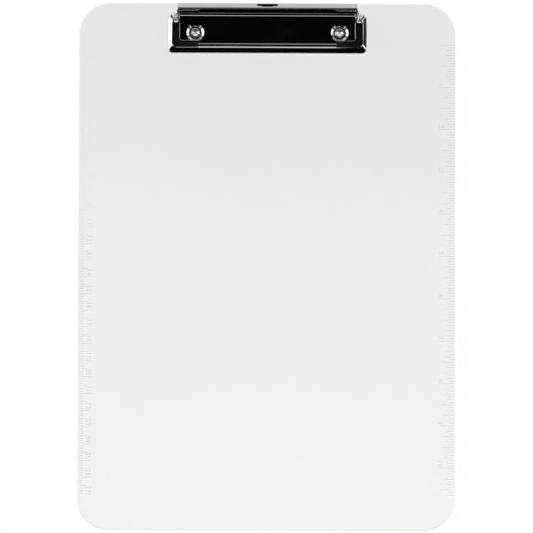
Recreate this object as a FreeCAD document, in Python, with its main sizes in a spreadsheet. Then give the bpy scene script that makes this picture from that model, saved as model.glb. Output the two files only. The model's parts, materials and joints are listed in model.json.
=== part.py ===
import FreeCAD, Part
import math
import os
import re
import Sketcher

# A letter-size clipboard: a clear moulded board with a low-profile sprung steel clip.
# Frame: origin at the middle of the board's underside, +Z up, +Y towards the clip, +X right.
# The clip's pieces are drawn in the clip's own frame, whose origin is the middle of the
# board's rear top edge, and each is then placed on the board by its Placement.

SIZES = [
    # board
    ("board_width", 226.0),
    ("board_length", 316.0),
    ("board_thick", 3.0),
    ("board_corner", 19.0),
    ("board_edge", 0.6),
    ("recess_radius", 6.0),
    ("recess_depth", 1.5),
    # sheet steel of the clip and its bends
    ("steel", 0.8),
    ("bend_inside", 0.5),
    # rivets, each side of the middle and forward of the board's rear edge
    ("rivet_side", 43.3),
    ("rivet_back", 17.9),
    ("rivet_hole", 1.8),
    ("shank_radius", 1.7),
    ("head_radius", 2.85),
    ("head_height", 1.0),
    ("washer_radius", 4.8),
    ("washer_thick", 0.6),
    # base plate
    ("plate_half", 53.8),
    ("plate_front", 26.5),
    ("plate_lift", 1.2),
    ("dish_top", 5.25),
    ("dish_floor", 3.45),
    ("foot_back", 6.65),
    ("foot_radius", 2.0),
    ("crest_back", 3.5),
    ("crest_height", 7.16),
    ("crest_radius", 0.88),
    ("slot_height", 2.5),
    ("slot_half", 5.0),
    ("slot_radius", 1.7),
    ("slot_end_radius", 0.9),
    ("keyway_radius", 3.2),
    ("keyway_height", 2.7),
    ("flange_half", 38.0),
    ("flange_front", 5.4),
    ("flange_rear", 0.3),
    # hinge
    ("pivot_back", 8.8),
    ("pivot_height", 3.45),
    ("pin_radius", 1.1),
    ("pin_head_radius", 1.4),
    ("pin_head_thick", 0.3),
    ("eye_radius", 2.1),
    ("lug_inner", 57.2),
    ("running_gap", 0.05),
    # lever
    ("lever_half", 59.7),
    ("lever_front", 30.5),
    ("lever_rear", 8.5),
    ("lever_clear", 0.05),
    ("skirt_height", 4.6),
    ("lever_height", 6.5),
    ("bevel_run", 2.6),
    ("front_run", 3.0),
    ("bevel_bend", 1.2),
    ("lever_corner", 2.6),
    ("window_half", 52.5),
    ("window_edge_radius", 0.3),
    ("window_corner", 1.5),
    ("arm_rear", 12.1),
    ("pad_back", 22.9),
    ("pad_half", 42.2),
    ("rib_back", 24.6),
    ("rib_bottom", 3.4),
    ("rib_bend_radius", 1.0),
    ("crown_back", 26.7),
    ("crown_run", 1.0),
    ("crown_drop", 0.04),
    ("lug_front", 17.5),
    ("lug_bottom", 1.3),
    ("tail_radius", 3.0),
    ("overrun", 2.0),
    # torsion springs
    ("wire_radius", 0.5),
    ("coil_radius", 2.25),
    ("coil_inner", 54.4),
    ("coil_pitch", 1.03),
    ("coil_turns", 2.0),
    ("leg_rise", 14.0),
    ("leg_length", 6.3),
    ("leg_bend", 0.85),
    ("tip_end", 58.35),
    ("tip_hole", 0.6),
    ("foot_drop", 6.7),
    ("foot_leg_back", 3.5),
    ("foot_leg_bend", 2.0),
    ("foot_leg_end", 43.0),
]

ALIASES = {alias for alias, value in SIZES}

doc = FreeCAD.newDocument("Clipboard")
sheet = doc.addObject("Spreadsheet::Sheet", "Sizes")
for row, (alias, value) in enumerate(SIZES, start=1):
    sheet.set(f"A{row}", alias)
    sheet.set(f"B{row}", str(value))
    sheet.setAlias(f"B{row}", alias)
doc.recompute()

parts = []


# --- helpers ---------------------------------------------------------------------------


def number(expression):
    """The value of an expression written with the sheet's aliases."""
    return float(sheet.evalExpression(expression))


def bound(expression):
    """The same expression as another object of the document has to write it."""

    def with_sheet(word):
        return f"Sizes.{word[0]}" if word[0] in ALIASES else word[0]

    return re.sub(r"[a-z_]+", with_sheet, expression)


def new_body(label):
    body = doc.addObject("PartDesign::Body", label)
    body.Label = label
    parts.append(body)
    return body


def put_on_board(part):
    """Move a piece from the clip's frame to the board's frame."""
    part.setExpression("Placement.Base.y", bound("board_length / 2"))
    part.setExpression("Placement.Base.z", bound("board_thick"))


def origin_plane(body, role):
    return next(feature for feature in body.Origin.OriginFeatures if feature.Role == role)


def new_sketch(body, name, role, offset="0"):
    """A sketch on one of the body's planes, moved along the plane's normal by an expression."""
    sketch = body.newObject("Sketcher::SketchObject", name)
    sketch.AttachmentSupport = [(origin_plane(body, role), "")]
    sketch.MapMode = "FlatFace"
    sketch.setExpression("AttachmentOffset.Base.z", bound(offset))
    return sketch


def bind(sketch, kind, geometry, point, expression):
    """A distance from the sketch's origin to a point, driven by an expression."""
    index = sketch.addConstraint(Sketcher.Constraint(kind, -1, 1, geometry, point, number(expression)))
    sketch.setExpression(f"Constraints[{index}]", bound(expression))


def polygon(sketch, corners):
    """A closed outline of straight sides; a corner is an (across, up) pair of expressions."""
    points = [FreeCAD.Vector(number(across), number(up), 0) for across, up in corners]
    first = sketch.GeometryCount
    count = len(points)
    for index in range(count):
        sketch.addGeometry(Part.LineSegment(points[index], points[(index + 1) % count]), False)
    for index in range(count):
        joined = first + (index + 1) % count
        sketch.addConstraint(Sketcher.Constraint("Coincident", first + index, 2, joined, 1))
    for index, (across, up) in enumerate(corners):
        bind(sketch, "DistanceX", first + index, 1, across)
        bind(sketch, "DistanceY", first + index, 1, up)


def circle(sketch, across, up, radius):
    centre = FreeCAD.Vector(number(across), number(up), 0)
    index = sketch.addGeometry(Part.Circle(centre, FreeCAD.Vector(0, 0, 1), number(radius)), False)
    bind(sketch, "DistanceX", index, 3, across)
    bind(sketch, "DistanceY", index, 3, up)
    size = sketch.addConstraint(Sketcher.Constraint("Radius", index, number(radius)))
    sketch.setExpression(f"Constraints[{size}]", bound(radius))


def pad(body, sketch, name, length, symmetric=False, reverse=False):
    feature = body.newObject("PartDesign::Pad", name)
    feature.Profile = sketch
    feature.SideType = "Symmetric" if symmetric else "One side"
    feature.Reversed = reverse
    feature.setExpression("Length", bound(length))
    doc.recompute()
    return feature


def pocket(body, sketch, name, length, symmetric=False, reverse=False):
    """Cut a sketch into the body, and make sure that it does cut."""
    before = body.Shape.Volume
    feature = body.newObject("PartDesign::Pocket", name)
    feature.Profile = sketch
    feature.SideType = "Symmetric" if symmetric else "One side"
    feature.Reversed = reverse
    feature.setExpression("Length", bound(length))
    doc.recompute()
    if body.Shape.Volume > before - 1e-3:
        raise RuntimeError(f"{name} cuts nothing")
    return feature


def edges_at(shape, test):
    """Names of the straight edges whose direction and middle pass a test."""
    names = []
    for index, edge in enumerate(shape.Edges, start=1):
        first, last = edge.valueAt(edge.FirstParameter), edge.valueAt(edge.LastParameter)
        if edge.Length > first.distanceToPoint(last) + 1e-4:
            continue
        middle = (first + last) / 2
        direction = edge.tangentAt(edge.FirstParameter)
        if test(middle, direction):
            names.append(f"Edge{index}")
    if not names:
        raise RuntimeError("no edge found to round")
    return names


def fillet(body, name, radius, test):
    base = body.Tip
    feature = body.newObject("PartDesign::Fillet", name)
    feature.Base = (base, edges_at(base.Shape, test))
    feature.setExpression("Radius", bound(radius))
    doc.recompute()
    return feature


def along_x_at(back, height):
    """Test for the edges that run along X through a given place in the clip's section."""
    reach = 0.02

    def test(middle, direction):
        across = abs(abs(direction.x) - 1) < 1e-4
        return across and abs(middle.y - back) < reach and abs(middle.z - height) < reach

    return test


def mirror(body, name, features):
    feature = body.newObject("PartDesign::Mirrored", name)
    feature.Originals = features
    feature.MirrorPlane = (origin_plane(body, "YZ_Plane"), [""])
    body.Tip = feature
    doc.recompute()
    return feature


# --- board -----------------------------------------------------------------------------


def make_board():
    """Clear moulded sheet with round corners, two rivet holes and a recess under each."""
    body = new_body("board")
    outline = new_sketch(body, "board_outline", "XY_Plane")
    half_width = "board_width / 2"
    half_length = "board_length / 2"
    polygon(outline, [(f"-{half_width}", f"-{half_length}"), (half_width, f"-{half_length}"),
                      (half_width, half_length), (f"-{half_width}", half_length)])
    pad(body, outline, "board_sheet", "board_thick")
    fillet(body, "board_corners", "board_corner", lambda middle, direction: abs(direction.z) > 0.9)
    rounded = body.newObject("PartDesign::Fillet", "board_rim")
    corners = doc.getObject("board_corners")
    rim = [f"Face{index}" for index, face in enumerate(corners.Shape.Faces, start=1)
           if abs(face.normalAt(0, 0).z) > 0.9]
    rounded.Base = (corners, rim)
    rounded.setExpression("Radius", bound("board_edge"))
    doc.recompute()
    for side, name in ((1, "right"), (-1, "left")):
        place = (f"{side} * rivet_side", "board_length / 2 - rivet_back")
        hole = new_sketch(body, f"{name}_hole_outline", "XY_Plane")
        circle(hole, *place, "rivet_hole")
        pocket(body, hole, f"{name}_hole", "board_thick", reverse=True)
        recess = new_sketch(body, f"{name}_recess_outline", "XY_Plane")
        circle(recess, *place, "recess_radius")
        pocket(body, recess, f"{name}_recess", "recess_depth", reverse=True)


# --- base plate ------------------------------------------------------------------------


def offset_corner(before, corner, after, thickness):
    """Where the sheet's other face turns, for a bend between two straight runs."""
    first = (corner - before).normalize()
    second = (after - corner).normalize()
    right_of_first = FreeCAD.Vector(first.y, -first.x, 0)
    right_of_second = FreeCAD.Vector(second.y, -second.x, 0)
    spread = 1 + right_of_first.dot(right_of_second)
    return corner + (right_of_first + right_of_second) * (thickness / spread)


def bent_sheet(sketch, corners):
    """Section of a bent sheet: its upper line goes through the corners, its lower line is
    parallel to it one sheet thickness away, and both ends stand on the sketch's X axis."""
    thickness = number("steel")
    upper = [FreeCAD.Vector(number(across), number(up), 0) for across, up in corners]
    lower = [offset_corner(*upper[index - 1:index + 2], thickness) for index in range(1, len(upper) - 1)]
    front_foot = upper[0] + FreeCAD.Vector(thickness, 0, 0)
    rear_run = (upper[-1] - upper[-2]).normalize()
    rear_foot = upper[-1] - FreeCAD.Vector(thickness / abs(rear_run.y), 0, 0)
    lower = [front_foot, *lower, rear_foot]
    runs = len(upper) - 1
    for line in (upper, lower):
        for index in range(runs):
            sketch.addGeometry(Part.LineSegment(line[index], line[index + 1]), False)
    for start in (0, runs):
        for index in range(start, start + runs - 1):
            sketch.addConstraint(Sketcher.Constraint("Coincident", index, 2, index + 1, 1))
    front_cap = sketch.addGeometry(Part.LineSegment(upper[0], lower[0]), False)
    rear_cap = sketch.addGeometry(Part.LineSegment(upper[-1], lower[-1]), False)
    sketch.addConstraint(Sketcher.Constraint("Coincident", front_cap, 1, 0, 1))
    sketch.addConstraint(Sketcher.Constraint("Coincident", front_cap, 2, runs, 1))
    sketch.addConstraint(Sketcher.Constraint("Coincident", rear_cap, 1, runs - 1, 2))
    sketch.addConstraint(Sketcher.Constraint("Coincident", rear_cap, 2, 2 * runs - 1, 2))
    for index, (across, up) in enumerate(corners[:-1]):
        bind(sketch, "DistanceX", index, 1, across)
        bind(sketch, "DistanceY", index, 1, up)
    bind(sketch, "DistanceX", runs - 1, 2, corners[-1][0])
    bind(sketch, "DistanceY", runs - 1, 2, corners[-1][1])
    for index in range(runs):
        sketch.addConstraint(Sketcher.Constraint("Parallel", index, runs + index))
        gap = sketch.addConstraint(Sketcher.Constraint("Distance", runs + index, 1, index, thickness))
        sketch.setExpression(f"Constraints[{gap}]", bound("steel"))
    bind(sketch, "DistanceY", runs, 1, "0")
    bind(sketch, "DistanceY", 2 * runs - 1, 2, "0")
    return upper, lower


def make_dish(body, side, name):
    """A round seat pressed down to the board, with the rivet's hole in its floor."""
    opening = new_sketch(body, f"{name}_dish_opening", "XY_Plane")
    circle(opening, f"{side} * rivet_side", "-rivet_back", "dish_top")
    pocket(body, opening, f"{name}_dish_cut", "3 * steel", reverse=True)
    section = new_sketch(body, f"{name}_dish_section", "XZ_Plane", "rivet_back")
    middle = f"{side} * rivet_side"
    slope = "steel * tan(atan(plate_lift / (dish_top - dish_floor)) / 2)"
    polygon(section, [(f"{middle} + rivet_hole", "0"),
                      (f"{middle} + dish_floor + {slope}", "0"),
                      (f"{middle} + dish_top + {slope}", "plate_lift"),
                      (f"{middle} + dish_top + {slope}", "plate_lift + steel"),
                      (f"{middle} + dish_top", "plate_lift + steel"),
                      (f"{middle} + dish_floor", "steel"),
                      (f"{middle} + rivet_hole", "steel")])
    axis = sketch_line(section, (middle, "0"), (middle, "plate_lift + steel"))
    dish = body.newObject("PartDesign::Revolution", f"{name}_dish")
    dish.Profile = section
    dish.ReferenceAxis = (section, [axis])
    dish.Angle = 360
    doc.recompute()


def sketch_line(sketch, start, end):
    """A construction line, used as the axis of a revolution."""
    points = [FreeCAD.Vector(number(across), number(up), 0) for across, up in (start, end)]
    index = sketch.addGeometry(Part.LineSegment(*points), True)
    for point, (across, up) in enumerate((start, end), start=1):
        bind(sketch, "DistanceX", index, point, across)
        bind(sketch, "DistanceY", index, point, up)
    return "Axis0"


def make_base_plate():
    """Bent sheet: front lip, raised field with two dished seats, and a hollow rear ridge with
    the hanging slot and a flange under it; an upright ear on each side carries a pivot pin."""
    body = new_body("base_plate")
    section = new_sketch(body, "plate_section", "YZ_Plane")
    field_top = "plate_lift + steel"
    corners = [("-plate_front", "0"), ("-plate_front", field_top), ("-foot_back", field_top),
               ("-crest_back", "crest_height"), ("0", "0")]
    upper, lower = bent_sheet(section, corners)
    pad(body, section, "plate_sheet", "2 * plate_half", symmetric=True)
    bends = [("lip", 1, "bend_inside + steel", "bend_inside"),
             ("foot", 2, "foot_radius", "foot_radius + steel"),
             ("crest", 3, "crest_radius", "crest_radius - steel")]
    for name, corner, upper_radius, lower_radius in bends:
        fillet(body, f"{name}_upper", upper_radius, along_x_at(upper[corner].x, upper[corner].y))
        fillet(body, f"{name}_lower", lower_radius, along_x_at(lower[corner].x, lower[corner].y))
    for side, name in ((1, "right"), (-1, "left")):
        make_dish(body, side, name)
    make_flange(body)
    make_slot(body)
    make_ears(body)
    put_on_board(body)


def make_flange(body):
    """The foot of the ridge's rear face, folded forward under the ridge between the springs."""
    section = new_sketch(body, "flange_section", "YZ_Plane")
    polygon(section, [("-flange_front", "0"), ("-flange_rear", "0"), ("-flange_rear - steel", "steel"),
                      ("-flange_front", "steel")])
    pad(body, section, "flange", "2 * flange_half", symmetric=True)


def make_slot(body):
    """The hanging slot in the ridge's rear face: a long slot with a taller keyway."""
    long_slot = new_sketch(body, "slot_outline", "XZ_Plane")
    polygon(long_slot, [("-slot_half - slot_radius", "slot_height - slot_radius"),
                        ("slot_half + slot_radius", "slot_height - slot_radius"),
                        ("slot_half + slot_radius", "slot_height + slot_radius"),
                        ("-slot_half - slot_radius", "slot_height + slot_radius")])
    pocket(body, long_slot, "slot", "2 * crest_back", symmetric=True)
    fillet(body, "slot_ends", "slot_end_radius", in_slot("slot_half"))
    keyway = new_sketch(body, "keyway_outline", "XZ_Plane")
    polygon(keyway, [("-keyway_radius", "slot_height"), ("keyway_radius", "slot_height"),
                     ("keyway_radius", "slot_height + keyway_height"),
                     ("-keyway_radius", "slot_height + keyway_height")])
    pocket(body, keyway, "keyway", "2 * crest_back", symmetric=True)


def in_slot(half):
    """Test for the short edges at the ends of the hanging slot."""
    beyond = number(half)

    def test(middle, direction):
        upright = abs(direction.y) > 0.9
        return upright and beyond < abs(middle.x) < 2 * beyond and middle.y > -number("foot_back")

    return test


def eyed_plate(body, name, web, start, symmetric_name):
    """An upright plate on each side of the clip: a web of straight sides and a round eye."""
    outline = new_sketch(body, f"{name}_outline", "YZ_Plane", start)
    polygon(outline, web)
    web_pad = pad(body, outline, name, "steel")
    eye = new_sketch(body, f"{name}_eye_outline", "YZ_Plane", start)
    circle(eye, "-pivot_back", "pivot_height", "eye_radius")
    eye_pad = pad(body, eye, f"{name}_eye", "steel")
    mirror(body, symmetric_name, [web_pad, eye_pad])


def make_ears(body):
    """Upright ears at the plate's side edges, with the pivot holes."""
    web = [("-pivot_back - eye_radius", "plate_lift"), ("-pivot_back + eye_radius", "plate_lift"),
           ("-pivot_back + eye_radius", "pivot_height"), ("-pivot_back - eye_radius", "pivot_height")]
    eyed_plate(body, "ear", web, "plate_half - steel", "both_ears")
    hole = new_sketch(body, "ear_hole_outline", "YZ_Plane")
    circle(hole, "-pivot_back", "pivot_height", "pin_radius + running_gap / 2")
    pocket(body, hole, "ear_holes", "2 * plate_half + overrun", symmetric=True)


# --- lever -----------------------------------------------------------------------------


def lever_outline(sketch, half, front, corner, rear):
    """A rectangle with its two front corners rounded."""
    half_width = number(half)
    front_y = -number(front)
    rear_y = -number(rear)
    radius = number(corner)
    turn = math.radians(90)
    right = FreeCAD.Vector(half_width - radius, front_y + radius, 0)
    left = FreeCAD.Vector(-half_width + radius, front_y + radius, 0)
    up = FreeCAD.Vector(0, 0, 1)
    geometry = [
        Part.LineSegment(FreeCAD.Vector(left.x, front_y, 0), FreeCAD.Vector(right.x, front_y, 0)),
        Part.ArcOfCircle(Part.Circle(right, up, radius), -turn, 0),
        Part.LineSegment(FreeCAD.Vector(half_width, right.y, 0), FreeCAD.Vector(half_width, rear_y, 0)),
        Part.LineSegment(FreeCAD.Vector(half_width, rear_y, 0), FreeCAD.Vector(-half_width, rear_y, 0)),
        Part.LineSegment(FreeCAD.Vector(-half_width, rear_y, 0), FreeCAD.Vector(-half_width, left.y, 0)),
        Part.ArcOfCircle(Part.Circle(left, up, radius), 2 * turn, 3 * turn),
    ]
    sketch.addGeometry(geometry, False)
    joints = [(0, 2, 1, 1), (1, 2, 2, 1), (4, 2, 5, 1), (5, 2, 0, 1)]
    for joint in joints:
        sketch.addConstraint(Sketcher.Constraint("Tangent", *joint))
    for joint in ((2, 2, 3, 1), (3, 2, 4, 1)):
        sketch.addConstraint(Sketcher.Constraint("Coincident", *joint))
    bind(sketch, "DistanceX", 2, 2, half)
    bind(sketch, "DistanceY", 2, 2, f"-({rear})")
    bind(sketch, "DistanceX", 3, 2, f"-({half})")
    bind(sketch, "DistanceY", 3, 2, f"-({rear})")
    sketch.addConstraint(Sketcher.Constraint("Vertical", 2))
    sketch.addConstraint(Sketcher.Constraint("Vertical", 4))
    bind(sketch, "DistanceY", 0, 1, f"-({front})")
    for arc in (1, 5):
        size = sketch.addConstraint(Sketcher.Constraint("Radius", arc, radius))
        sketch.setExpression(f"Constraints[{size}]", bound(corner))


def lever_layer(body, name, height, half, front, corner, rear):
    """The lever's outline at a height of its own."""
    sketch = new_sketch(body, name, "XY_Plane", height)
    lever_outline(sketch, half, front, corner, rear)
    return sketch


def loft(body, kind, name, bottom, top):
    feature = body.newObject(f"PartDesign::{kind}", name)
    feature.Profile = bottom
    feature.Sections = [top]
    feature.Ruled = True
    doc.recompute()
    return feature


def make_lever():
    """The pressed jaw: a flat U-shaped frame with bevelled borders and a straight skirt down
    to the board, a stiffening rib behind the front bar, and a pivot lug under each arm."""
    body = new_body("lever")
    make_lever_shell(body)
    make_lever_window(body)
    make_rib(body)
    make_crown(body)
    make_lugs(body)
    round_off(body, "tail_rounding", "lever_rear", "lever_height", "tail_radius",
              "2 * lever_half + overrun")
    put_on_board(body)


def make_lever_shell(body):
    """A pan one sheet thick, open underneath and behind."""
    outside = ("lever_half", "lever_front", "lever_corner", "lever_rear")
    top = ("lever_half - bevel_run", "lever_front - front_run", "lever_corner", "lever_rear")
    skirt = lever_layer(body, "skirt_outline", "lever_clear", *outside)
    pad(body, skirt, "skirt_block", "skirt_height - lever_clear")
    bevel_low = lever_layer(body, "bevel_low", "skirt_height", *outside)
    bevel_high = lever_layer(body, "bevel_high", "lever_height", *top)
    loft(body, "AdditiveLoft", "bevel_block", bevel_low, bevel_high)
    round_lever_bends(body)
    inside = ("lever_half - steel", "lever_front - steel", "lever_corner - steel / 2",
              "lever_rear - overrun")
    under = ("lever_half - bevel_run - steel / 4", "lever_front - front_run - steel / 4",
             "lever_corner - steel / 4", "lever_rear - overrun")
    hollow_height = "skirt_height - steel / 4"
    hollow = lever_layer(body, "hollow_outline", "0", *inside)
    pocket(body, hollow, "skirt_hollow", hollow_height, reverse=True)
    hollow_low = lever_layer(body, "hollow_low", hollow_height, *inside)
    hollow_high = lever_layer(body, "hollow_high", "lever_height - steel", *under)
    loft(body, "SubtractiveLoft", "bevel_hollow", hollow_low, hollow_high)


def make_lever_window(body):
    """Open the frame: the arms end short of the hinge, and the front bar steps back between
    the two corner pads."""
    window = new_sketch(body, "window_outline", "XY_Plane", "lever_height - 2 * steel")
    arm_edge = "lever_half - bevel_run"
    polygon(window, [("-pad_half", "-rib_back"), ("pad_half", "-rib_back"), ("pad_half", "-pad_back"),
                     ("window_half", "-pad_back"), ("window_half", "-arm_rear"), (arm_edge, "-arm_rear"),
                     (arm_edge, "0"), (f"-({arm_edge})", "0"), (f"-({arm_edge})", "-arm_rear"),
                     ("-window_half", "-arm_rear"), ("-window_half", "-pad_back"),
                     ("-pad_half", "-pad_back")])
    pocket(body, window, "window", "3 * steel", reverse=True)
    inner = number("window_half")
    back = -number("pad_back")
    fillet(body, "window_corners", "window_corner", lambda middle, direction: abs(direction.z) > 0.9
           and abs(abs(middle.x) - inner) < 0.05 and abs(middle.y - back) < 0.05)
    top = number("lever_height")
    fillet(body, "window_edges", "window_edge_radius", lambda middle, direction: abs(direction.y) > 0.9
           and abs(abs(middle.x) - inner) < 0.05 and abs(middle.z - top) < 0.05)


def make_rib(body):
    """The front bar's window edge turned down between the two steps, which stiffens the bar."""
    section = new_sketch(body, "rib_section", "YZ_Plane")
    polygon(section, [("-rib_back - steel", "rib_bottom"), ("-rib_back", "rib_bottom"),
                      ("-rib_back", "lever_height"), ("-rib_back - steel", "lever_height")])
    width = "2 * pad_half - 2 * steel"
    pad(body, section, "rib", width, symmetric=True)
    round_off(body, "rib_bend", "rib_back", "lever_height", "rib_bend_radius", width)


def make_lugs(body):
    """Lugs that hang from the arms' bevels and reach back to the pivot pins."""
    roof = "lever_height - steel * 1.1"
    web = [("-lug_front", "lug_bottom"), ("-pivot_back", "pivot_height - eye_radius"),
           ("-pivot_back", "pivot_height + eye_radius"), ("-arm_rear", roof), ("-lug_front", roof)]
    eyed_plate(body, "lug", web, "lug_inner", "both_lugs")
    holes = new_sketch(body, "lug_holes_outline", "YZ_Plane")
    circle(holes, "-pivot_back", "pivot_height", "pin_radius + running_gap")
    pocket(body, holes, "pivot_holes", "2 * (lug_inner + steel + running_gap)", symmetric=True)
    tips = new_sketch(body, "tip_holes_outline", "YZ_Plane")
    circle(tips, *tip_place(), "tip_hole + running_gap")
    pocket(body, tips, "tip_holes", "2 * (lug_inner + steel + running_gap)", symmetric=True)


def tip_place():
    """Where the spring's tip goes through the lug, in the clip's section."""
    rise = "leg_rise * 1deg"
    along = f"(coil_radius * sin({rise}) + leg_length * cos({rise}))"
    up = f"(leg_length * sin({rise}) - coil_radius * cos({rise}))"
    return f"-pivot_back - {along}", f"pivot_height + {up}"


def round_off(body, name, back, height, radius, width):
    """Round the upper rear corner of what lies at a place in the clip's section, over a width."""
    sketch = new_sketch(body, f"{name}_outline", "YZ_Plane")
    size = number(radius)
    corner = FreeCAD.Vector(-number(back), number(height), 0)
    below = corner - FreeCAD.Vector(0, size, 0)
    before = corner - FreeCAD.Vector(size, 0, 0)
    centre = corner - FreeCAD.Vector(size, size, 0)
    arc = Part.ArcOfCircle(Part.Circle(centre, FreeCAD.Vector(0, 0, 1), size), 0, math.radians(90))
    sketch.addGeometry([Part.LineSegment(corner, below), arc, Part.LineSegment(before, corner)], False)
    for joint in ((0, 2, 1, 1), (1, 2, 2, 1), (2, 2, 0, 1)):
        sketch.addConstraint(Sketcher.Constraint("Coincident", *joint))
    bind(sketch, "DistanceX", 0, 1, f"-{back}")
    bind(sketch, "DistanceY", 0, 1, height)
    bind(sketch, "DistanceX", 1, 3, f"-{back} - {radius}")
    bind(sketch, "DistanceY", 1, 3, f"{height} - {radius}")
    bind(sketch, "DistanceX", 0, 2, f"-{back}")
    pocket(body, sketch, name, width, symmetric=True)


def make_crown(body):
    """Between the steps, the front bar's top leans down a little before it bends."""
    section = new_sketch(body, "crown_section", "YZ_Plane")
    polygon(section, [("-crown_back - crown_run", "lever_height - crown_drop"),
                      ("-crown_back", "lever_height"), ("-crown_back", "lever_height + steel"),
                      ("-crown_back - crown_run", "lever_height + steel")])
    pocket(body, section, "crown", "2 * pad_half - 2 * steel", symmetric=True)


def round_lever_bends(body):
    """Soft bends where the flat top meets the bevel, and the bevel meets the skirt."""
    top = number("lever_height")
    skirt = number("skirt_height")
    half = number("lever_half")
    front = number("lever_front")
    side_run = number("bevel_run")
    front_run = number("front_run")

    def on_bend(middle, height, side_inset, front_inset):
        at_side = abs(abs(middle.x) - (half - side_inset)) < 0.05
        at_front = abs(middle.y + front - front_inset) < 0.05
        return abs(middle.z - height) < 0.05 and (at_side or at_front)

    fillet(body, "top_bend", "bevel_bend",
           lambda middle, direction: on_bend(middle, top, side_run, front_run))
    fillet(body, "skirt_bend", "bevel_bend", lambda middle, direction: on_bend(middle, skirt, 0, 0))


# --- small turned and formed pieces ----------------------------------------------------


def revolve(label, section, place, axis):
    """A turned piece. Its section is a list of (kind, point, point, ...) with points as
    (radius, height) pairs; a curve starts upwards and ends downwards."""
    edges = []
    for kind, *points in section:
        vectors = [FreeCAD.Vector(radius, 0, height) for radius, height in points]
        if kind == "line":
            edges.append(Part.makeLine(*vectors))
        elif kind == "arc":
            edges.append(Part.Arc(*vectors).toShape())
        else:
            curve = Part.BSplineCurve()
            upwards = FreeCAD.Vector(0, 0, 1)
            curve.interpolate(vectors, InitialTangent=upwards, FinalTangent=-upwards)
            edges.append(curve.toShape())
    face = Part.Face(Part.Wire(edges))
    solid = face.revolve(FreeCAD.Vector(0, 0, 0), FreeCAD.Vector(0, 0, 1), 360)
    feature = doc.addObject("Part::Feature", label)
    feature.Label = label
    feature.Shape = solid
    feature.Placement = FreeCAD.Placement(place, FreeCAD.Rotation(FreeCAD.Vector(0, 0, 1), axis))
    parts.append(feature)


def make_rivet(label, side):
    """A semi-tubular rivet: low round head under the board, hollow end rolled over on the
    plate. The rounds of both ends are given as fractions of the head's radius and height."""
    shank = number("shank_radius")
    head = number("head_radius")
    height = number("head_height")
    seat = number("recess_depth - washer_thick")
    low = seat - 0.7 * height
    plate = number("board_thick + steel")
    top = plate + height
    bore = 0.34 * shank
    floor = plate - 1.5 * height
    section = [
        ("line", (0, low), (0.55 * head, low)),
        ("arc", (0.55 * head, low), (0.84 * head, low + 0.12 * height), (head, seat - 0.25 * height)),
        ("line", (head, seat - 0.25 * height), (head, seat)),
        ("line", (head, seat), (shank, seat)),
        ("line", (shank, seat), (shank, plate)),
        ("line", (shank, plate), (0.93 * head, plate)),
        ("arc", (0.93 * head, plate), (0.98 * head, plate + 0.1 * height), (head, plate + 0.3 * height)),
        ("curve", (head, plate + 0.3 * height), (0.95 * head, plate + 0.78 * height), (0.8 * head, top),
         (0.66 * head, plate + 0.9 * height)),
        ("line", (0.66 * head, plate + 0.9 * height), (bore, plate + 0.15 * height)),
        ("line", (bore, plate + 0.15 * height), (bore, floor)),
        ("line", (bore, floor), (0, floor)),
        ("line", (0, floor), (0, low)),
    ]
    place = FreeCAD.Vector(side * number("rivet_side"), number("board_length / 2 - rivet_back"), 0)
    revolve(label, section, place, FreeCAD.Vector(0, 0, 1))


def make_washer(label, side):
    """Flat back washer with broken edges, in the board's recess."""
    outer = number("washer_radius")
    inner = number("rivet_hole")
    top = number("recess_depth")
    bottom = top - number("washer_thick")
    edge = number("washer_thick") / 5
    section = [
        ("line", (inner, bottom), (outer - edge, bottom)),
        ("line", (outer - edge, bottom), (outer, bottom + edge)),
        ("line", (outer, bottom + edge), (outer, top - edge)),
        ("line", (outer, top - edge), (outer - edge, top)),
        ("line", (outer - edge, top), (inner, top)),
        ("line", (inner, top), (inner, bottom)),
    ]
    place = FreeCAD.Vector(side * number("rivet_side"), number("board_length / 2 - rivet_back"), 0)
    revolve(label, section, place, FreeCAD.Vector(0, 0, 1))


def make_pivot_pin(label, side):
    """A short rivet through the plate's ear and the lever's lug, with a low bevelled head at
    each end."""
    radius = number("pin_radius")
    head = number("pin_head_radius")
    thick = number("pin_head_thick")
    start = number("plate_half - steel - running_gap")
    end = number("lug_inner + steel + running_gap")
    edge = thick / 2
    section = [
        ("line", (0, start - thick), (head - edge, start - thick)),
        ("line", (head - edge, start - thick), (head, start - thick + edge)),
        ("line", (head, start - thick + edge), (head, start)),
        ("line", (head, start), (radius, start)),
        ("line", (radius, start), (radius, end)),
        ("line", (radius, end), (head, end)),
        ("line", (head, end), (head, end + thick - edge)),
        ("line", (head, end + thick - edge), (head - edge, end + thick)),
        ("line", (head - edge, end + thick), (0, end + thick)),
        ("line", (0, end + thick), (0, start - thick)),
    ]
    place = FreeCAD.Vector(0, number("board_length / 2 - pivot_back"),
                           number("board_thick + pivot_height"))
    revolve(label, section, place, FreeCAD.Vector(side, 0, 0))


# --- torsion springs -------------------------------------------------------------------


def rounded_path(points, radii):
    """Edges through the points, each inner corner rounded by its own radius."""
    edges = []
    start = points[0]
    for corner, following, radius in zip(points[1:-1], points[2:], radii):
        arriving = (corner - start).normalize()
        leaving = (following - corner).normalize()
        turn = arriving.getAngle(leaving)
        reach = radius * math.tan(turn / 2)
        first = corner - arriving * reach
        last = corner + leaving * reach
        towards = (leaving - arriving).normalize()
        middle = corner + towards * (radius / math.cos(turn / 2) - radius)
        edges.append(Part.makeLine(start, first))
        edges.append(Part.Arc(first, middle, last).toShape())
        start = last
    edges.append(Part.makeLine(start, points[-1]))
    return edges


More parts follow.
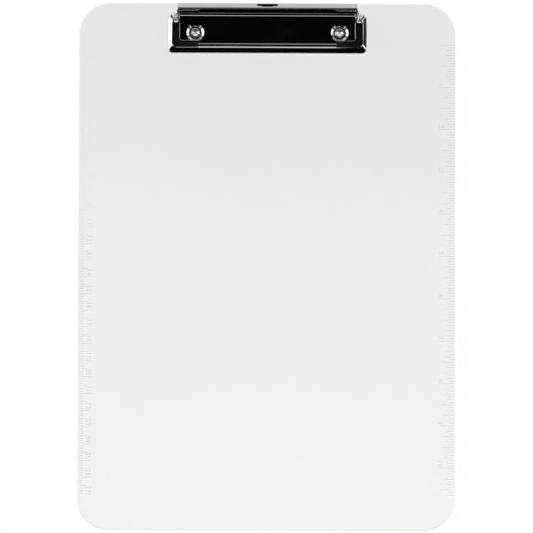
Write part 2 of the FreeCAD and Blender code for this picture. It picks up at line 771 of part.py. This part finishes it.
def wire_tube(edges, radius):
    """A round wire along a path of touching edges."""
    path = Part.Wire(edges)
    first = edges[0]
    start = first.valueAt(first.FirstParameter)
    heading = first.tangentAt(first.FirstParameter)
    section = Part.Wire([Part.makeCircle(radius, start, heading)])
    return path.makePipeShell([section], True, False, 0)


def coil_edges(axis, start, end):
    """The coil as short arcs around an axis along +X, between two angles that are counted from
    below the axis, forward and up. Gives the arcs and the coil's two ends."""
    radius = number("coil_radius")
    pitch = number("coil_pitch")
    arcs = 4 * math.ceil(number("coil_turns"))

    def place(angle):
        across = pitch * (angle - start) / (2 * math.pi)
        return axis + FreeCAD.Vector(across, -radius * math.sin(angle), -radius * math.cos(angle))

    step = (end - start) / arcs
    edges = []
    for index in range(arcs):
        before = start + index * step
        edges.append(Part.Arc(place(before), place(before + step / 2), place(before + step)).toShape())
    return edges, place(start), place(end)


def make_spring(label, side):
    """A torsion spring around the pivot pin. One leg rests on the board inside the ridge, the
    other hooks into the lever's lug."""
    rise = math.radians(number("leg_rise"))
    drop = math.radians(number("foot_drop"))
    inner = number("coil_inner")
    axis = FreeCAD.Vector(inner, -number("pivot_back"), number("pivot_height"))
    coil, coil_start, coil_end = coil_edges(axis, drop, 2 * math.pi * number("coil_turns") + rise)
    back = -number("foot_leg_back") - coil_start.y
    rear = coil_start + FreeCAD.Vector(0, back, -back * math.tan(drop))
    inboard = FreeCAD.Vector(number("foot_leg_end"), rear.y, rear.z)
    foot = rounded_path([inboard, rear, coil_start], [number("foot_leg_bend")])
    leaving = FreeCAD.Vector(0, -math.cos(rise), math.sin(rise))
    hook = coil_end + leaving * number("leg_length")
    tip = FreeCAD.Vector(number("tip_end"), hook.y, hook.z)
    leg = rounded_path([coil_end, hook, tip], [number("leg_bend")])
    shape = wire_tube([*foot, *coil, *leg], number("wire_radius"))
    if side < 0:
        shape = shape.mirror(FreeCAD.Vector(0, 0, 0), FreeCAD.Vector(1, 0, 0))
    feature = doc.addObject("Part::Feature", label)
    feature.Label = label
    feature.Shape = shape
    corner = FreeCAD.Vector(0, number("board_length / 2"), number("board_thick"))
    feature.Placement = FreeCAD.Placement(corner, FreeCAD.Rotation())
    parts.append(feature)


# --- assembly --------------------------------------------------------------------------


def check():
    """Stop before writing anything if a feature failed or a piece has no sound shape."""
    for item in doc.Objects:
        if "Invalid" in item.State or "Error" in item.State:
            raise RuntimeError(f"{item.Label} failed: {item.State}")
    for part in parts:
        if part.Shape.isNull() or not part.Shape.isValid():
            raise RuntimeError(f"{part.Label} has no valid shape")
        solids = len(part.Shape.Solids)
        print(f"{part.Label}: {solids} solid(s), {part.Shape.Volume:.1f} mm3")


make_board()
make_base_plate()
make_lever()
for name, sign in (("left", -1), ("right", 1)):
    make_rivet(f"{name}_rivet", sign)
    make_washer(f"{name}_back_washer", sign)
    make_pivot_pin(f"{name}_pivot_pin", sign)
    make_spring(f"{name}_torsion_spring", sign)
doc.recompute()
check()

os.makedirs("parts", exist_ok=True)
for part in parts:
    part.Shape.exportStep(f"parts/{part.Label}.step")
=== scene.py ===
import json
import math

import bmesh
import bpy
from mathutils import Matrix, Vector

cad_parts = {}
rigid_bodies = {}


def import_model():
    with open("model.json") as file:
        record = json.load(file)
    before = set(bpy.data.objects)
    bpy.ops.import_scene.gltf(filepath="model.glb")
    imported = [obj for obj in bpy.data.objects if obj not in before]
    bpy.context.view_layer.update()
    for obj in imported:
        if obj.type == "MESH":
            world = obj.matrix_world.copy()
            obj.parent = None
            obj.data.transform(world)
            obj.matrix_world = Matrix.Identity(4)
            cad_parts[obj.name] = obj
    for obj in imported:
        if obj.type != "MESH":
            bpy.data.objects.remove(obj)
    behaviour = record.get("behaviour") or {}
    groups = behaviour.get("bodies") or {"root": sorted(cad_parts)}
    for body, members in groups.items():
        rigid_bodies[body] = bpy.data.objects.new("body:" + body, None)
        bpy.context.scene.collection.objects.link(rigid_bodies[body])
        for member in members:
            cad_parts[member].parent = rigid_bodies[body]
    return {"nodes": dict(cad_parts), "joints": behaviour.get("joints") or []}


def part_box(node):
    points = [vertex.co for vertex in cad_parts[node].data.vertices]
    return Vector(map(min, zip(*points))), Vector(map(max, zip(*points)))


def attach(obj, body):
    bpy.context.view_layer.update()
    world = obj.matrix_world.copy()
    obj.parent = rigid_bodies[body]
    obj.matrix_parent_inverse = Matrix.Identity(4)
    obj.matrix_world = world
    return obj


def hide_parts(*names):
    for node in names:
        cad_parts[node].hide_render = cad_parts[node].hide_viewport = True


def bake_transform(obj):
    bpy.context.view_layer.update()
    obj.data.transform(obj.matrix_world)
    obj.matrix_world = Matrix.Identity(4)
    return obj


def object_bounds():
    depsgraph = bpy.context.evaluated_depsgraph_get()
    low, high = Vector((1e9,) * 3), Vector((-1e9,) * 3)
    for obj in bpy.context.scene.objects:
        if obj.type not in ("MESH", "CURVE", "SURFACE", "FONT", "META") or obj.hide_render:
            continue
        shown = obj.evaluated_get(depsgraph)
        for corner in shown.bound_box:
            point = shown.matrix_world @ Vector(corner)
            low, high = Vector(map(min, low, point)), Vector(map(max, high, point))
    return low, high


# The looks of a clear letter-size clipboard with a chromed clip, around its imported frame.
# Metres, +Z up, +Y towards the clip. Added pieces are placed by the frame's boxes and hinge.

MM = 0.001
MICRON = 0.001 * MM
INCH = 0.0254
FULL_TURN = 2 * math.pi
MARK_SHARE = 0.11  # how much of the light a ruler mark scatters at full strength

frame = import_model()
cad_low, cad_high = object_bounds()

BASE = frame["joints"][0]["parent"]
HINGE = Vector(frame["joints"][0]["pos_m"])


# --- node helpers ----------------------------------------------------------------------


class Graph:
    """A short way to write a node tree."""

    def __init__(self, tree):
        self.tree = tree
        tree.nodes.clear()

    def add(self, kind, **inputs):
        """A node with its inputs set: a socket is linked, anything else is a value."""
        node = self.tree.nodes.new(kind)
        for name, value in inputs.items():
            socket = node.inputs[name.replace("_", " ")]
            self.feed(socket, value)
        return node

    def feed(self, socket, value):
        if isinstance(value, bpy.types.NodeSocket):
            self.tree.links.new(value, socket)
        else:
            socket.default_value = value

    def math(self, operation, first, second=0.0):
        node = self.tree.nodes.new("ShaderNodeMath")
        node.operation = operation
        self.feed(node.inputs[0], first)
        self.feed(node.inputs[1], second)
        return node.outputs[0]

    def ramp(self, value, low, high, to_low=0.0, to_high=1.0, soft=True):
        """The value carried from one range to another and held at its ends."""
        node = self.tree.nodes.new("ShaderNodeMapRange")
        node.interpolation_type = "SMOOTHSTEP" if soft else "LINEAR"
        self.feed(node.inputs["Value"], value)
        ends = {"From Min": low, "From Max": high, "To Min": to_low, "To Max": to_high}
        for name, end in ends.items():
            self.feed(node.inputs[name], end)
        return node.outputs["Result"]

    def mix(self, share, first, second):
        """A colour between two colours."""
        node = self.tree.nodes.new("ShaderNodeMix")
        node.data_type = "RGBA"
        self.feed(node.inputs[0], share)
        self.feed(node.inputs[6], first)
        self.feed(node.inputs[7], second)
        return node.outputs[2]

    def place(self, scale):
        """The point in the object's own frame, stretched along each axis."""
        point = self.add("ShaderNodeTexCoord").outputs["Object"]
        node = self.add("ShaderNodeMapping", Vector=point, Scale=scale)
        return node.outputs["Vector"]

    def noise(self, scale, detail=2.0, roughness=0.5):
        """Noise whose grain is about 1 / scale metres along each axis."""
        node = self.add("ShaderNodeTexNoise", Vector=self.place(scale), Scale=1.0, Detail=detail,
                        Roughness=roughness)
        return node.outputs["Fac"]

    def bump(self, height, distance):
        return self.add("ShaderNodeBump", Height=height, Distance=distance).outputs["Normal"]


def new_material(name):
    material = bpy.data.materials.new(name)
    material.use_nodes = True
    return material, Graph(material.node_tree)


def finish_material(graph, shader):
    output = graph.add("ShaderNodeOutputMaterial")
    graph.tree.links.new(shader.outputs[0], output.inputs["Surface"])


def grey(value):
    return (value, value, value, 1.0)


# --- materials -------------------------------------------------------------------------


def clear_board_material():
    """Clear moulded polystyrene: slightly grey, glossy, with a faint flow in the surface."""
    material, graph = new_material("clear_board")
    flow = graph.noise((9, 5, 9), detail=3.0)
    rub = graph.noise((260, 90, 260), detail=5.0, roughness=0.65)
    haze = graph.ramp(rub, 0.45, 0.75, 0.015, 0.06)
    tint = graph.mix(flow, (0.864, 0.867, 0.866, 1.0), (0.884, 0.886, 0.885, 1.0))
    swell = graph.bump(flow, 80 * MICRON)
    shader = graph.add("ShaderNodeBsdfPrincipled", Base_Color=tint, Roughness=haze, Normal=swell)
    shader.inputs["IOR"].default_value = 1.5
    shader.inputs["Transmission Weight"].default_value = 1.0
    finish_material(graph, shader)
    return material


def chrome_material(name, colour, polish, scratch):
    """Plated steel of a given roughness, with faint smears that dull and darken it a little and
    fine rubbing marks of a given depth."""
    smear_dulling = 2.2
    smear_darkening = 0.93
    material, graph = new_material(name)
    smear = graph.noise((70, 120, 70), detail=4.0, roughness=0.6)
    rubbing = graph.noise((350, 9000, 9000), detail=2.0)
    dull = graph.ramp(smear, 0.4, 0.8, polish, polish * smear_dulling)
    darker = tuple(channel * smear_darkening for channel in colour[:3]) + (1.0,)
    tint = graph.mix(smear, darker, colour)
    scratched = graph.bump(rubbing, scratch)
    shader = graph.add("ShaderNodeBsdfPrincipled", Base_Color=tint, Roughness=dull, Normal=scratched)
    shader.inputs["Metallic"].default_value = 1.0
    finish_material(graph, shader)
    return material


def ruler_mark_material(name, rear_share):
    """The raised marks of a ruler: the board's own plastic, slightly frosted, and fading more or less
    clear towards the rear."""
    material, graph = new_material(name)
    point = graph.add("ShaderNodeTexCoord").outputs["Object"]
    along = graph.add("ShaderNodeSeparateXYZ", Vector=point).outputs["Y"]
    fade_start = -10 * MM
    fade_end = 45 * MM
    share = graph.ramp(along, fade_start, fade_end, MARK_SHARE, rear_share)
    grain = graph.noise((900, 900, 900), detail=3.0)
    tint = graph.mix(grain, grey(0.50), grey(0.62))
    frosted = graph.add("ShaderNodeBsdfPrincipled", Base_Color=tint, Roughness=0.45)
    clear = graph.add("ShaderNodeBsdfTransparent")
    blend = graph.add("ShaderNodeMixShader", Fac=share)
    graph.tree.links.new(clear.outputs[0], blend.inputs[1])
    graph.tree.links.new(frosted.outputs[0], blend.inputs[2])
    finish_material(graph, blend)
    return material


def paint(node, material):
    mesh = frame["nodes"][node].data
    mesh.materials.clear()
    mesh.materials.append(material)


def ease_edges(node):
    """Break the sharp edges of a sheet-metal piece so that they catch the light."""
    modifier = frame["nodes"][node].modifiers.new("eased_edges", "BEVEL")
    modifier.width = 0.2 * MM
    modifier.segments = 2
    modifier.limit_method = "ANGLE"
    modifier.angle_limit = math.radians(50)
    modifier.harden_normals = True


# --- pieces ----------------------------------------------------------------------------


def mesh_piece(name, bm, material):
    mesh = bpy.data.meshes.new(name)
    bm.to_mesh(mesh)
    bm.free()
    mesh.materials.append(material)
    piece = bpy.data.objects.new(name, mesh)
    bpy.context.scene.collection.objects.link(piece)
    return piece


def add_bar(bm, start, end, width, low, high):
    """A low bar on the board between two X places, with sides that lean in a little."""
    rings = []
    for height, inset in ((low, 0.0), (high, 0.2 * width)):
        left, right = start.x + inset, end.x - inset
        front, rear = start.y - width / 2 + inset, start.y + width / 2 - inset
        outline = ((left, front), (right, front), (right, rear), (left, rear))
        rings.append([bm.verts.new((x, y, height)) for x, y in outline])
    bottom, top = rings
    bm.faces.new(bottom[::-1])
    bm.faces.new(top)
    for index in range(4):
        following = (index + 1) % 4
        bm.faces.new((bottom[index], bottom[following], top[following], top[index]))


def add_number(bm, text, place, height, low, high):
    """A moulded number that reads along -Y, with its top towards +X."""
    digit_share = 0.72  # a digit's height as a share of the font's size
    curve = bpy.data.curves.new("number", "FONT")
    curve.body = text
    curve.size = height / digit_share
    curve.align_x = "RIGHT"
    curve.extrude = (high - low) / 2
    curve.resolution_u = 3
    holder = bpy.data.objects.new("number", curve)
    mesh = bpy.data.meshes.new_from_object(holder)
    turn = Matrix.Rotation(-math.pi / 2, 4, "Z")
    mesh.transform(Matrix.Translation((place.x, place.y, (low + high) / 2)) @ turn)
    bm.from_mesh(mesh)
    bpy.data.objects.remove(holder)
    bpy.data.curves.remove(curve)
    bpy.data.meshes.remove(mesh)


def ruler(name, edge, inward, margin, zero, step, count, reach, numbers, material):
    """A ruler along one long edge of the board. Its marks start a margin inward of the edge and
    follow each other a step apart, from zero towards the front. reach gives how far in a mark
    ends from its index, and numbers gives the label that stands just before a mark, or None."""
    board_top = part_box("board")[1].z
    low = board_top - 0.02 * MM
    high = board_top + 0.1 * MM
    line = 0.32 * MM
    digit = 3.1 * MM
    digit_gap = 0.7 * MM
    bm = bmesh.new()
    for index in range(count + 1):
        y = zero - index * step
        near = edge + inward * margin
        far = edge + inward * reach(index)
        start = Vector((min(near, far), y, 0))
        end = Vector((max(near, far), y, 0))
        add_bar(bm, start, end, line, low, high)
        label = numbers(index)
        if label:
            foot = far if inward < 0 else far - digit
            add_number(bm, label, Vector((foot, y + digit_gap, 0)), digit, low, high)
    piece = mesh_piece(name, bm, material)
    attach(piece, BASE)


def inch_reach(index):
    """How far a sixteenth's mark reaches in from the board's edge."""
    for divisor, length in ((16, 9.9), (8, 8.2), (4, 6.4), (2, 5.1)):
        if index % divisor == 0:
            return length * MM
    return 3.6 * MM


def centimetre_reach(index):
    """How far a millimetre's mark reaches in from the board's edge."""
    for divisor, length in ((10, 8.4), (5, 6.0)):
        if index % divisor == 0:
            return length * MM
    return 3.8 * MM


def numbered_every(count):
    """The labels of a ruler that is numbered once in so many marks, with its zero left blank."""
    return lambda index: str(index // count) if index and index % count == 0 else None


def make_rulers():
    """Inches on the right edge, in sixteenths, and centimetres on the left, in millimetres. The
    centimetre marks fade almost clear towards the rear."""
    board_low, board_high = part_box("board")
    zero = board_high.y - 24.7 * MM
    # the centimetre marks fade to a fifth of their full share towards the rear
    faded_share = 0.2 * MARK_SHARE
    ruler("inch_ruler", board_high.x, -1, 0.6 * MM, zero, INCH / 16, 170, inch_reach,
          numbered_every(16), ruler_mark_material("inch_marks", MARK_SHARE))
    ruler("centimetre_ruler", board_low.x, 1, 1.3 * MM, zero, 1 * MM, 270, centimetre_reach,
          numbered_every(10), ruler_mark_material("centimetre_marks", faded_share))


def tube(bm, path, radius, sides=14):
    """A round wire with flat ends along a list of points."""
    tangents = []
    for index in range(len(path)):
        before = path[max(index - 1, 0)]
        after = path[min(index + 1, len(path) - 1)]
        tangents.append((after - before).normalized())
    side = tangents[0].orthogonal().normalized()
    rings = []
    for point, tangent in zip(path, tangents):
        side = (side - tangent * side.dot(tangent)).normalized()
        other = tangent.cross(side)
        ring = []
        for index in range(sides):
            angle = FULL_TURN * index / sides
            outward = side * math.cos(angle) + other * math.sin(angle)
            ring.append(bm.verts.new(point + outward * radius))
        rings.append(ring)
    for first, second in zip(rings, rings[1:]):
        for index in range(sides):
            following = (index + 1) % sides
            bm.faces.new((first[index], first[following], second[following], second[index]))
    bm.faces.new(rings[0][::-1])
    bm.faces.new(rings[-1])


def rounded(points, radii, steps=10):
    """The points' path with each inner corner turned into an arc of its own radius."""
    path = [points[0]]
    for corner, after, radius in zip(points[1:-1], points[2:], radii):
        before = path[-1]
        arriving = (corner - before).normalized()
        leaving = (after - corner).normalized()
        turn = arriving.angle(leaving)
        reach = radius * math.tan(turn / 2)
        centre = corner + (leaving - arriving).normalized() * (radius / math.cos(turn / 2))
        first = corner - arriving * reach - centre
        last = corner + leaving * reach - centre
        for index in range(steps + 1):
            share = index / steps
            path.append(centre + first.normalized().slerp(last.normalized(), share) * radius)
    path.append(points[-1])
    return path


def make_spring(side, material):
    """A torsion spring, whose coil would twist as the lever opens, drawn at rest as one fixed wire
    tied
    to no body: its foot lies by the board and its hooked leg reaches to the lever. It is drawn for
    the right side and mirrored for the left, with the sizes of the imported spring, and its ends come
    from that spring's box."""
    name = "left" if side < 0 else "right"
    node = f"{name}_torsion_spring"
    low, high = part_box(node)
    wire = 0.5 * MM  # the wire's radius
    coil = 2.25 * MM  # the radius of the coil's centre line
    turn_count = 2
    pitch = 1.03 * MM
    inner = 54.4 * MM
    foot_bend = 2.0 * MM
    leg_length = 6.3 * MM
    hook_bend = 0.85 * MM
    drop = math.radians(6.7)  # the slope at which the foot leaves the coil
    rise = math.radians(14.0)  # the slope of the hooked leg
    outer_end = high.x if side > 0 else -low.x
    inner_end = low.x if side > 0 else -high.x
    rear_y = high.y - wire
    foot_z = low.z + wire

    def around(angle):
        """A point of the coil's centre line; the angle starts straight below the hinge."""
        across = inner + pitch * (angle - drop) / FULL_TURN
        return Vector((across, HINGE.y - coil * math.sin(angle), HINGE.z - coil * math.cos(angle)))

    end_angle = turn_count * FULL_TURN + rise
    steps = 110
    turns = [around(drop + (end_angle - drop) * index / steps) for index in range(steps + 1)]
    rear = Vector((inner, rear_y, foot_z))
    inboard = Vector((inner_end, rear_y, foot_z))
    foot = rounded([inboard, rear, turns[0]], [foot_bend])
    leaving = Vector((0, -math.cos(rise), math.sin(rise)))
    hook = turns[-1] + leaving * leg_length
    tip = Vector((outer_end, hook.y, hook.z))
    leg = rounded([turns[-1], hook, tip], [hook_bend])
    path = foot[:-1] + turns + leg[1:]
    for point in path:
        point.x *= side
    bm = bmesh.new()
    tube(bm, path, wire)
    bmesh.ops.recalc_face_normals(bm, faces=bm.faces)
    piece = mesh_piece(f"{name}_spring_wire", bm, material)
    for face in piece.data.polygons:
        face.use_smooth = True
    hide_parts(node)
    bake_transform(piece)


# --- studio ----------------------------------------------------------------------------


def make_floor():
    """A plain white table, mostly lit from within so that it stays pale to its far edge and under
    the clear board."""
    material, graph = new_material("floor")
    shader = graph.add("ShaderNodeBsdfPrincipled", Base_Color=grey(0.2), Roughness=0.8)
    shader.inputs["Specular IOR Level"].default_value = 0.0
    shader.inputs["Emission Color"].default_value = grey(1.0)
    shader.inputs["Emission Strength"].default_value = 0.92
    finish_material(graph, shader)
    floor_radius = 40.0
    bm = bmesh.new()
    bmesh.ops.create_circle(bm, cap_ends=True, radius=floor_radius, segments=96)
    floor = mesh_piece("floor", bm, material)
    floor.location.z = cad_low.z - 0.2 * MM


def make_world():
    """A dark studio with soft lights, each laid out by the direction (x, y, z) it comes from: a
    panel overhead, a tall panel on the left, low bands and cards on the right and at the rear, and
    a lamp at each front corner."""
    world = bpy.data.worlds.new("studio")
    world.use_nodes = True
    bpy.context.scene.world = world
    graph = Graph(world.node_tree)
    direction = graph.add("ShaderNodeTexCoord").outputs["Generated"]
    split = graph.add("ShaderNodeSeparateXYZ", Vector=direction)
    x, y, z = split.outputs

    def product(*factors):
        value = factors[0]
        for factor in factors[1:]:
            value = graph.math("MULTIPLY", value, factor)
        return value

    # a strip overhead that runs from left to right and fades out towards the rear
    overhead = product(graph.ramp(y, 0.093, -0.06, 0.0, 2.17, soft=False),
                       graph.ramp(y, -0.13, -0.07), graph.ramp(z, 0.62, 0.8))
    # a tall panel on the left
    left = product(graph.ramp(x, -0.77, -0.86, 0.0, 2.8), graph.ramp(z, 0.85, 0.7))
    # low panels around the table, on the right and at the rear
    band = graph.ramp(z, 0.26, 0.18)
    right_low = product(graph.ramp(x, 0.6, 0.85, 0.0, 2.2), band)
    rear_low = product(graph.ramp(y, 0.5, 0.8, 0.0, 1.3), band)
    # cards that stand above the low panels, and a faint fill from the upper right
    rear_high = product(graph.ramp(y, 0.5, 0.7, 0.0, 1.3), graph.ramp(z, 0.27, 0.35),
                        graph.ramp(z, 0.6, 0.5))
    right_card = product(graph.ramp(x, 0.77, 0.85, 0.0, 2.0), graph.ramp(z, 0.34, 0.37),
                         graph.ramp(z, 0.6, 0.52))
    right_high = product(graph.ramp(x, 0.5, 0.8, 0.0, 0.04), graph.ramp(z, 0.8, 0.6))
    # a lamp at each front corner
    aside = graph.math("ABSOLUTE", x)
    front_lamps = product(graph.ramp(aside, 0.53, 0.57, 0.0, 1.0), graph.ramp(aside, 0.72, 0.68),
                          graph.ramp(y, -0.45, -0.55), graph.ramp(z, 0.65, 0.5))
    dark_walls = 0.003
    total = dark_walls
    for part in (overhead, left, right_low, rear_low, rear_high, right_card, right_high, front_lamps):
        total = graph.math("ADD", part, total)
    background = graph.add("ShaderNodeBackground", Color=grey(1.0), Strength=total)
    output = graph.add("ShaderNodeOutputWorld")
    graph.tree.links.new(background.outputs[0], output.inputs["Surface"])


def make_camera():
    """Straight down from far above, a little towards the board's front, as the board is seen."""
    distance = 2.5
    lean = math.radians(2.5)
    roll = math.radians(0.24)
    margin = 1.0105  # how much more than the board's length the picture takes in
    board_low, board_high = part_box("board")
    target = Vector((0.0, -0.2 * MM, board_high.z))
    view_height = (board_high.y - board_low.y) * margin
    camera = bpy.data.cameras.new("camera")
    camera.sensor_width = 36.0
    camera.lens = camera.sensor_width * distance / view_height
    camera.clip_end = 100.0
    holder = bpy.data.objects.new("camera", camera)
    bpy.context.scene.collection.objects.link(holder)
    holder.location = target + Vector((0, -math.sin(lean), math.cos(lean))) * distance
    turn = Matrix.Rotation(lean, 3, "X") @ Matrix.Rotation(roll, 3, "Z")
    holder.rotation_euler = turn.to_euler()
    bpy.context.scene.camera = holder


# --- assembly --------------------------------------------------------------------------

make_camera()
make_world()
make_floor()

board_plastic = clear_board_material()
base_chrome = chrome_material("base_chrome", (0.45, 0.45, 0.45, 1.0), 0.02, 0.4 * MICRON)
lever_chrome = chrome_material("lever_chrome", (0.52, 0.525, 0.53, 1.0), 0.045, 0.4 * MICRON)
rivet_steel = chrome_material("rivet_steel", (0.80, 0.80, 0.795, 1.0), 0.20, 0.03 * MICRON)
spring_steel = chrome_material("spring_wire", (0.85, 0.85, 0.86, 1.0), 0.20, 0.03 * MICRON)
paint("board", board_plastic)
paint("base_plate", base_chrome)
paint("lever", lever_chrome)
ease_edges("base_plate")
ease_edges("lever")
for name in ("rivet", "back_washer", "pivot_pin"):
    for hand in ("left", "right"):
        paint(f"{hand}_{name}", rivet_steel)
make_rulers()
for hand in (-1, 1):
    make_spring(hand, spring_steel)

bpy.context.scene.view_settings.view_transform = "Standard"
